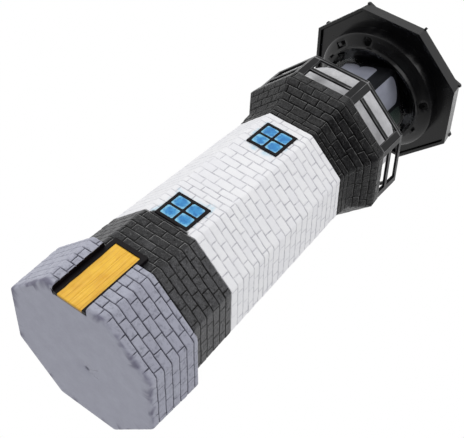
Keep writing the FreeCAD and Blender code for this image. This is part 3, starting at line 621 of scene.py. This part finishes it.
BAND_JOINTS = {
    0: {0: [-16.0, 16.0], 1: [-14.0, -1.0, 11.5], 2: [-12.0, 0.0, 12.0]},
    1: {0: [-18.0, 17.0], 1: [-6.9, 5.7, 17.8], 2: [-8.0, 5.0, 17.0]},
    2: {0: [-12.0, 0.2, 13.6], 1: [-13.2, -0.6, 10.9], 2: [-0.8, 11.4]},
    3: {0: [-18.6, -6.5, 6.5, 19.0], 1: [-7.6, 4.4, 15.7], 2: [-11.3, 2.1, 13.9]},
    4: {0: [-15.3, -1.5, 11.5], 1: [-16.1, -3.1, 7.8], 2: [-5.4, 7.2]},
    5: {0: [-9.8, 3.1, 16.6], 1: [-11.8, 0.5, 12.8], 2: [-13.0, -1.0, 11.0]},
    6: {0: [-17.8, -4.8, 8.3], 1: [-7.8, 4.4, 16.7], 2: [-6.0, 6.5]},
}
WHITE_LINES = [84.0, 90.8, 96.7, 102.6, 108.0, 113.5, 118.8, 123.7, 129.2, 135.8, 142.1, 148.5,
               154.9, 161.4, 167.7, 174.0, 180.3, 186.2, 192.0, 197.5, 202.8, 207.5]
WHITE_JOINTS = {
    0: {0: [-17.0, 15.0], 1: [-16.0, -3.1, 9.0]},
    1: {0: [16.0], 1: [-10.3, 2.1, 14.5]},
    2: {0: [15.0], 1: [-5.7, 6.9, 19.0]},
    3: {0: [14.9], 1: [-12.1, -0.4, 12.5]},
    4: {0: [-16.1, -4.0, 7.8, 19.0], 1: [-7.1, 5.7, 17.8]},
    5: {0: [-10.7, 1.0, 13.6], 1: [-14.9, -2.3, 10.9]},
    6: {0: [-16.5, -4.8, 7.8], 1: [-9.0, 3.8]},
    7: {0: [-9.0, 4.7], 1: [-7.9, 4.7, 16.5]},
    8: {0: [-15.7, -2.3, 9.7], 1: [-15.1, -2.7, 9.4]},
    9: {0: [-9.6, 2.1, 13.9], 1: [-10.3, 1.9, 13.9]},
    10: {0: [-5.2, 8.0], 1: [-5.2, 6.9]},
    11: {0: [-13.9, -0.4, 13.0], 1: [-12.1, -0.4, 12.0]},
    12: {0: [-9.4, 3.8], 1: [-8.4, 3.8, 15.6]},
    13: {0: [-4.8, 8.8], 1: [-15.5, -3.4, 8.3]},
    14: {0: [-12.9, -0.4, 12.8], 1: [-11.8, 0.9, 13.0]},
    15: {0: [14.0], 1: [-6.9, 5.8]},
    16: {0: [], 1: [-13.6, -1.6, 10.5]},
    17: {0: [14.0], 1: [-8.4, 4.2, 15.9]},
    18: {0: [], 1: [-15.1, -2.7, 9.9]},
    19: {0: [14.0], 1: [-9.6, 3.0, 15.0]},
    20: {0: [-5.7, 6.9], 1: [-4.2, 8.3]},
}


def base_profile(t):
    """The base block's wall, drawn in at its rounded foot and top."""
    rounding = 2.2
    foot = np.clip(rounding - t, 0, rounding)
    top = np.clip(t - (BASE_HEIGHT - rounding), 0, rounding)
    inset = 2 * rounding - np.sqrt(rounding ** 2 - foot ** 2) - np.sqrt(rounding ** 2 - top ** 2)
    return BASE_RADIUS + BASE_SPREAD * t / BASE_HEIGHT - inset / FLAT, t, 0.0


def foot_smudges(points):
    """Darker paint in patches along the foot's edge."""
    angle = np.arctan2(points[:, 1], points[:, 0])
    around = (angle / (math.pi / 4) + 2.0) % 8
    patch = table_noise(around, points[:, 2], 5.0, 71) + 0.5 * table_noise(around, points[:, 2],
                                                                          1.6, 72)
    edge = np.clip(1.0 - np.abs(points[:, 2] - 1.6) / 3.4, 0, 1)
    rim = np.hypot(points[:, 0], points[:, 1]) > 54.0
    return np.clip(edge * 1.6 + patch * 0.8 - 0.75, 0, 1) * 0.85 * rim


VENT, VENT_RADIUS, VENT_MOUTH = np.array([5.1, 5.3]), 1.8, 2.2


def base_block():
    rings, marks = [], []
    for radius, height, share in ((VENT_RADIUS, BASE_ROOF, 1), (VENT_RADIUS, 0.4, 1),
                                  (VENT_MOUTH, 0, 1), (12, 0, 0.8), (30, 0, 0.4), (45, 0, 0),
                                  (53, 0, 0), (57.8, 0, 0)):
        off = VENT * np.clip(1.0 - (radius - 2.0) / 40.0, 0, 1)
        rings.append(plain_ring(radius, height, 0.5 + 0.035 * radius, share) + (*off, 0))
        marks.append(PLAIN)
    for height in (0.05, 0.25, 0.6):
        rings.append(plain_ring(base_profile(height)[0], height, BASE_CORNER))
        marks.append(PLAIN)
    # painted light: side_light paints the base's front paler than its other sides, and pale paints
    # the joints left of the front paler
    wall, cuts = brick_wall(base_profile, BASE_LINES, BASE_JOINTS, BASE_BRICK, BASE_CORNER, 11,
                            foot=4.5, side_light=-0.10, pale=0.15)
    rings += wall
    marks += cuts
    for radius, height in ((SEAT_EDGE, BASE_HEIGHT), (SEAT, BASE_HEIGHT),
                           (BASE_BORE, BASE_HEIGHT), (BASE_BORE, BASE_ROOF)):
        rings.append(plain_ring(radius, height))
        marks.append(PLAIN)
    shape = ring_piece("base_stone", rings, marks, slate, "tower", "slate_resin",
                       stain=foot_smudges)
    cut_box(shape, (POCKET[0], PAST_FRONT, -2), (POCKET[1], POCKET[2], 60))
    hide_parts("base_block")


def shaft(name, node, lines, known, material, slot, seed, depth, sunk=(), **layers):
    """One section of the shaft; only the one with windows is sunk and filled."""
    # painted light and shade: the band is painted paler off its front and darker on it
    # (side_light), and its painted highlights mostly stay on the front (glint_off_front)
    rings, marks = brick_wall(shaft_profile, lines, known, BRICK, SHAFT_CORNER, seed, depth,
                              sunk=sunk, filled=bool(sunk), glint_off_front=0.25, side_light=0.0 if sunk else 0.22)
    for z in (lines[-1], lines[0]):
        rings.append(plain_ring(shaft_radius(z) - WALL, z))
        marks.append(PLAIN)
    shape = ring_piece(name, rings, marks, material, "tower", slot, **layers)
    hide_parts(node)
    return shape


GALLERY_PROFILE = ((46.3, 207.5), (47.8, 219.5), (59.0, 234.3), (58.1, 243.0))
GALLERY_LINES = [0.0, 3.7, 8.1, 14.6, 19.9, 25.4, 31.0, 38.85]
GALLERY_JOINTS = {
    0: {0: [-12.4, 0.1], 1: [2.0, 14.6]},
    1: {0: [-7.8, 5.9], 1: [-15.6, 5.9]},
    2: {0: [-7.8, 5.9]},
    3: {0: [-13.6, -0.1, 13.2], 1: [-7.8, 4.7], 2: [-15.8, -3.3, 9.3], 7: [-4.9, 7.1]},
    4: {0: [-18.7, -6.6, 5.9, 18.9], 1: [-14.4, -1.6, 11.0], 2: [1.3, 13.8],
        7: [-11.0, 1.1, 13.8]},
    5: {0: [-12.9, -1.1, 11.7], 1: [-7.8, 4.2], 7: [-5.4, 7.6, 20.6]},
    6: {0: [-20.6, 4.4, 17.0], 1: [-12.7]},
}


def gallery_profile(t):
    """The gallery's outside by length along it, from its foot up."""
    points = np.array(GALLERY_PROFILE)
    flat = points * (FLAT, 1.0)
    lengths = np.concatenate([[0], np.cumsum(np.hypot(*np.diff(flat, axis=0).T))])
    radius = np.interp(t, lengths, points[:, 0])
    height = np.interp(t, lengths, points[:, 1])
    slopes = np.arctan2(*np.diff(flat, axis=0).T)
    middles = (lengths[:-1] + lengths[1:]) / 2
    return radius, height, np.interp(t, middles, slopes)


def gallery():
    # painted light and shade: the gallery's front is painted paler and its other sides darker
    # (side_light), and its painted highlights thin off the front (glint_off_front)
    rings, marks = brick_wall(gallery_profile, GALLERY_LINES, GALLERY_JOINTS, BRICK, 1.6, 51,
                              0.75, glint_off_front=0.6, side_light=-0.2)
    for radius, height, share in ((57.6, 243.0, 0), (50, 243.0, 0.5), (37.8, 243.0, 1),
                                  (37.8, 240.5, 1), (28, 240.5, 1), (28, 236, 1), (38.9, 236, 0),
                                  (40.5, 207.5, 0)):
        rings.append(plain_ring(radius, height, round_share=share))
        marks.append(PLAIN)
    shape = ring_piece("gallery_stone", rings, marks, gallery_black, "tower", "black_resin")
    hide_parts("gallery")


# ------------------------------------------------------------ door and windows
POCKET = (-15.55, 10.95, -49.395, 53.0)       # left, right, back and top of the door's pocket
PAST_FRONT = -70.0
DOOR_LEFT, DOOR_RIGHT, DOOR_TOP, DOOR_FACE = -11.95, 7.35, 49.4, -52.1
PLANK_LINES = ((-9.3, 0.10, 0.5), (-6.2, 0.16, 0.8), (-2.7, 0.26, 1.0), (-1.2, 0.10, 0.5),
               (0.9, 0.08, 0.4), (2.8, 0.26, 1.0), (5.7, 0.20, 0.8))
# windows as (across, height, half width, half height)
LOWER_WINDOW = (-1.0, 97.2, 12.9, 11.7)
UPPER_WINDOW = (-0.1, 186.3, 12.4, 11.9)
RIM, HALF_BAR = 2.3, 0.85                     # width of a frame, half width of its bars
UNDER_FRAME = 0.6                             # how far a frame laps over the sunk wall
BEHIND = -30.0                                # paint stays on points in front of this


def smooth_noise(u, v, step, seed):
    """Smooth noise from -1 to 1 over a plane in millimetres."""
    rng = np.random.default_rng(seed)
    table = rng.uniform(-1, 1, (260, 260))
    u, v = u / step + 100.0, v / step + 10.0
    i, j = np.floor(u).astype(int) % 259, np.floor(v).astype(int) % 259
    fu, fv = u - np.floor(u), v - np.floor(v)
    fu, fv = fu * fu * (3 - 2 * fu), fv * fv * (3 - 2 * fv)
    low = table[i, j] * (1 - fu) + table[i + 1, j] * fu
    high = table[i, j + 1] * (1 - fu) + table[i + 1, j + 1] * fu
    return low * (1 - fv) + high * fv


def door_panel():
    """The door's planks in low relief, with paint that ends in a wavy edge."""
    columns, rows = 130, 66
    u, z = np.meshgrid(np.linspace(DOOR_LEFT, DOOR_RIGHT, columns),
                       np.linspace(0.0, DOOR_TOP, rows))
    relief = 0.10 * smooth_noise(u, z / 9.0, 0.9, 81) + 0.05 * smooth_noise(u, z, 1.4, 82)
    line = np.zeros_like(u)
    for place, depth, tone in PLANK_LINES:
        sway = 0.30 * smooth_noise(np.full_like(u, place * 7), z, 7.0, 83)
        share = np.clip(1 - np.abs(u - place - sway) / 0.32, 0, 1)
        share = share * (0.7 + 0.3 * smooth_noise(np.full_like(u, place * 5), z, 4.0, 84))
        relief = relief - depth * share
        line = np.maximum(line, tone * share)
    wave = 0.30 * smooth_noise(np.zeros_like(u), z, 6.0, 85)
    inside = np.minimum(np.minimum(u - DOOR_LEFT - 0.25 - wave, DOOR_RIGHT - 0.15 - wave / 3 - u),
                        DOOR_TOP - 0.15 - wave / 3 - z)
    stain = np.clip(0.5 - inside / 0.35, 0, 1)
    y = DOOR_FACE + np.clip(0.12 - relief, 0.0, 0.6)
    points = np.stack([u, y, z], -1).reshape(-1, 3)
    grid = np.arange(columns * rows).reshape(rows, columns)
    faces = list(zip(grid[:-1, :-1].ravel(), grid[:-1, 1:].ravel(), grid[1:, 1:].ravel(),
                     grid[1:, :-1].ravel()))
    rim = list(grid[0]) + list(grid[1:, -1]) + list(grid[-1, -2::-1]) + list(grid[-2:0:-1, 0])
    back = points[rim] * (1, 0, 1) + (0, POCKET[2], 0)
    first = len(points)
    count = len(rim)
    for number in range(count):
        nxt = (number + 1) % count
        faces.append((rim[number], first + number, first + nxt, rim[nxt]))
    faces.append(tuple(range(first + count - 1, first - 1, -1)))
    values = {"groove": np.concatenate([line.ravel(), np.zeros(count)]),
              "stain": np.concatenate([stain.ravel(), np.ones(count)])}
    shape = piece("door_planks", np.concatenate([points, back]),
                  [tuple(int(v) for v in face) for face in faces],
                  MATERIALS["yellow_door"], "tower", "yellow_door", **values)
    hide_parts("door_panel")


def overspray(points):
    """Pale blue paint round the windows, past their frames."""
    x, y, z = points.T
    total = np.zeros(len(points))
    for window, left, right, low, high in ((LOWER_WINDOW, 1.8, 0.8, 0.5, 3.0),
                                           (UPPER_WINDOW, 1.0, 1.2, 3.6, 0.6)):
        across, height, half, tall = window
        past = np.maximum(np.maximum((across - half - x) / left, (x - across - half) / right),
                          np.maximum((height - tall - z) / low, (z - height - tall) / high))
        patch = smooth_noise(x + 40, z, 4.0, 91) + 0.5 * smooth_noise(x + 40, z, 1.5, 92)
        share = np.clip(1.35 - past + 0.7 * patch, 0, 1) * (past > 0)
        total = np.maximum(total, share * np.clip(0.5 + 0.6 * patch, 0.0, 1.0))
    return total * (y < BEHIND) * 0.75


def band_paint(points):
    """The band's dark paint, which runs up to the lower window's foot."""
    x, y, z = points.T
    edge = 87.6 - (x + 14.3) * 0.06 + 0.5 * smooth_noise(x + 40, z, 2.0, 95)
    edge = np.where(x < -14.6, 84.0 + (x + 16.6) * 1.8, edge)
    inside = (x > -16.6) & (x < 13.4) & (y < BEHIND)
    return np.clip((edge - z) / 0.8 + 0.5, 0, 1) * inside


def window_paint(name, window):
    """Blue for one window's four panes, by their places."""
    across, height, half, tall = window
    pane = ((half - RIM - HALF_BAR) / 2, (tall - RIM - HALF_BAR) / 2)
    spread = (pane[0] + HALF_BAR, pane[1] + HALF_BAR)
    total = across + height
    paint = window_blue(name + "_blue", (across, height), (total - 16, total + 16), pane, spread)
    node = frame["nodes"][name + "_window_panes"]
    node.data.materials.clear()
    node.data.materials.append(paint)


# --------------------------------------------------------------- studio, floor
def studio():
    """White world, three soft lamps and a pale floor that only takes shadows."""
    world = bpy.data.worlds.new("studio")
    bpy.context.scene.world = world
    world.use_nodes = True
    tree = world.node_tree

    def node(kind, first, second, **values):
        """A node fed by two sources, with values for its named inputs."""
        made = tree.nodes.new("ShaderNode" + kind[0])
        if kind[1]:
            made.operation = kind[1]
        for key, value in values.items():
            made.inputs[key.replace("_", " ")].default_value = value
        for source, socket in zip((first, second), made.inputs):
            if source is not None:
                tree.links.new(source, socket)
        return made

    path = tree.nodes.new("ShaderNodeLightPath").outputs
    seen = node(("Math", "MAXIMUM"), path["Is Camera Ray"], path["Is Transmission Ray"])
    shown = node(("Math", "MAXIMUM"), seen.outputs[0], path["Is Glossy Ray"])
    strength = node(("MapRange", None), shown.outputs[0], None, To_Min=0.72, To_Max=1.0)
    # gloss finds one low side of the room dark
    direction = tree.nodes.new("ShaderNodeTexCoord").outputs["Generated"]
    toward = node(("VectorMath", "DOT_PRODUCT"), direction, None)
    toward.inputs[1].default_value = (0.50, -0.55, -0.67)
    dim = node(("MapRange", None), toward.outputs["Value"], None,
               From_Min=-0.10, From_Max=0.75, To_Min=0.0, To_Max=0.92)
    gloss = node(("Math", "MULTIPLY"), dim.outputs[0], path["Is Glossy Ray"])
    final = node(("Math", "SUBTRACT"), strength.outputs[0], gloss.outputs[0])
    back = tree.nodes["Background"]
    tree.links.new(final.outputs[0], back.inputs["Strength"])
    back.inputs["Color"].default_value = (1.0, 1.0, 1.0, 1.0)

    def lamp(name, place, size, power):
        data = bpy.data.lights.new(name, "AREA")
        data.shape = "DISK"
        data.size = size
        data.energy = power
        light = bpy.data.objects.new(name, data)
        bpy.context.scene.collection.objects.link(light)
        light.location = place
        light.rotation_mode = "QUATERNION"
        aim = Vector((0, 0, 0.18)) - Vector(place)
        light.rotation_quaternion = aim.to_track_quat("-Z", "Y")

    lamp("key", (-1.0, -1.10, 0.25), 0.9, 6.0)
    lamp("top", (-0.3, 0.5, 1.6), 1.2, 7.0)
    lamp("side", (0.75, -0.85, 0.80), 0.9, 4.0)

    mesh = bpy.data.meshes.new("floor")
    half, level = 3.0, -0.0004
    mesh.from_pydata([(-half, -half, level), (half, -half, level), (half, half, level),
                      (-half, half, level)], [], [(0, 1, 2, 3)])
    floor = bpy.data.objects.new("floor", mesh)
    bpy.context.scene.collection.objects.link(floor)
    n = Nodes("floor_pale")
    below = n.add("NewGeometry").outputs["Backfacing"]
    see = n.add("BsdfTransparent")
    n.set(Base_Color=(0.86, 0.86, 0.86), Roughness=0.9, Specular_IOR_Level=0.1)
    blend = n.add("MixShader")
    n.link(below, blend.inputs[0])
    n.link(n.shader.outputs[0], blend.inputs[1])
    n.link(see.outputs[0], blend.inputs[2])
    n.link(blend.outputs[0], n.output.inputs["Surface"])
    mesh.materials.append(n.material)
    floor.visible_diffuse = floor.visible_shadow = False
    floor.visible_glossy = floor.visible_transmission = False


# ----------------------------------------------------------------------- build
photo_camera()
studio()
for row in frame["record"]["subparts"]:
    if row["node"] in ("door_panel", "lower_window_panes", "upper_window_panes"):
        continue
    node = frame["nodes"][row["node"]]
    node.data.materials.clear()
    node.data.materials.append(MATERIALS[row["material_slot"]])
frame["nodes"]["beacon_shade"].data.materials[0] = shade_black
# the railing's and the lamp head's rounded edges carry painted highlights
for name in ("railing_top_rail", "railing_posts", "railing_mid_rails"):
    soften(frame["nodes"][name], 0.45, 2, rail_edge_highlight)
soften(frame["nodes"]["door_frame"], 0.4)
soften(frame["nodes"]["head_base"], 0.35, 2, head_edge_highlight)
for name in ("lower_window_frame", "upper_window_frame"):
    soften(frame["nodes"][name], 0.5, 3)
window_paint("lower", LOWER_WINDOW)
window_paint("upper", UPPER_WINDOW)
SUNK = [(across - half + UNDER_FRAME, across + half - UNDER_FRAME,
         height - tall + UNDER_FRAME, height + tall - UNDER_FRAME)
        for across, height, half, tall in (LOWER_WINDOW, UPPER_WINDOW)]
base_block()
band = shaft("band_stone", "lower_shaft", BAND_LINES, BAND_JOINTS, band_black, "black_resin",
             21, 0.5)
cut_box(band, (POCKET[0], PAST_FRONT, 40), (POCKET[1], POCKET[2], POCKET[3]))
shaft("white_stone", "upper_shaft", WHITE_LINES, WHITE_JOINTS, white, "white_resin", 41, 0.40,
      SUNK, stain=overspray, paint=band_paint)
gallery()
door_panel()

bpy.context.scene.view_settings.view_transform = "Standard"
